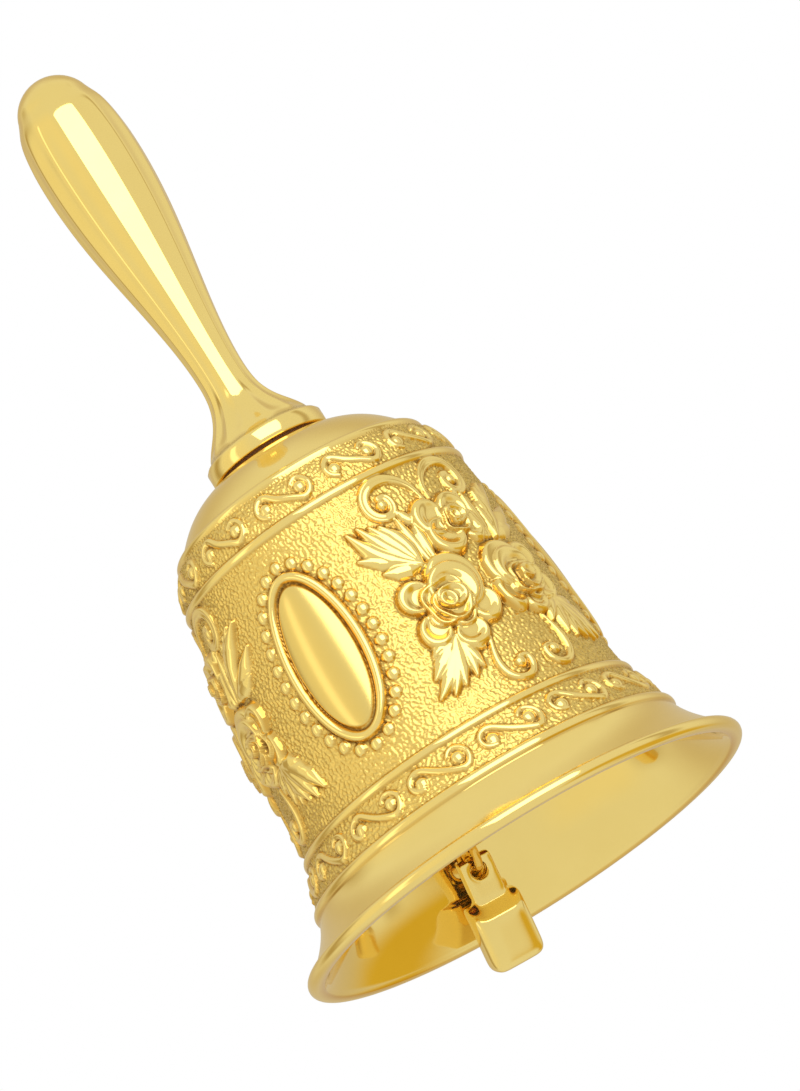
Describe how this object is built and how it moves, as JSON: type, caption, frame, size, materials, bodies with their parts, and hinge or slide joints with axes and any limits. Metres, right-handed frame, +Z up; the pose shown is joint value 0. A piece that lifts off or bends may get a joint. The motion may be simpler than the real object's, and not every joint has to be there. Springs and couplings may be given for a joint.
{
  "type": "sanctus bell",
  "caption": "Small gilt hand bell with a flared mouth, relief ornament, a baluster handle and a clapper that hangs on a wire link.",
  "frame": {"origin": "middle of the flat rim that the bell stands on", "axes": "+Z up through the handle; -Y is the way the first medallion faces"},
  "size_m": [0.071, 0.071, 0.1413],
  "materials": {
    "gilt": "polished gold plate",
    "plain_brass": "turned brass",
    "brass_wire": "drawn, gilt wire",
    "steel": "zinc-plated spring steel",
    "dark_washer": "dark fibre"
  },
  "bodies": {
    "root": {"bell_body": "gilt", "handle": "gilt", "spacer_washer": "dark_washer", "flat_washer": "plain_brass", "lock_washer": "steel", "hex_nut": "plain_brass", "eye_bolt": "plain_brass"},
    "ring": {"hanger_ring": "brass_wire"},
    "link": {"clapper_link": "brass_wire"},
    "clapper": {"clapper": "gilt"}
  },
  "joints": [
    {"name": "hanger_turn", "type": "hinge", "parent": "root", "child": "ring", "pos_m": [0, 0, 0.0552], "axis": [0, 0, 1], "range_deg": [-30, 30]},
    {"name": "clapper_swing", "type": "hinge", "parent": "ring", "child": "link", "pos_m": [0, 0, 0.0515], "axis": [0.7986, 0.6018, 0], "range_deg": [-54, 0.3]},
    {"name": "clapper_fold", "type": "hinge", "parent": "link", "child": "clapper", "pos_m": [-0.01345, 0.01785, 0.0105], "axis": [0.7986, 0.6018, 0], "range_deg": [-14, 0.5]}
  ]
}
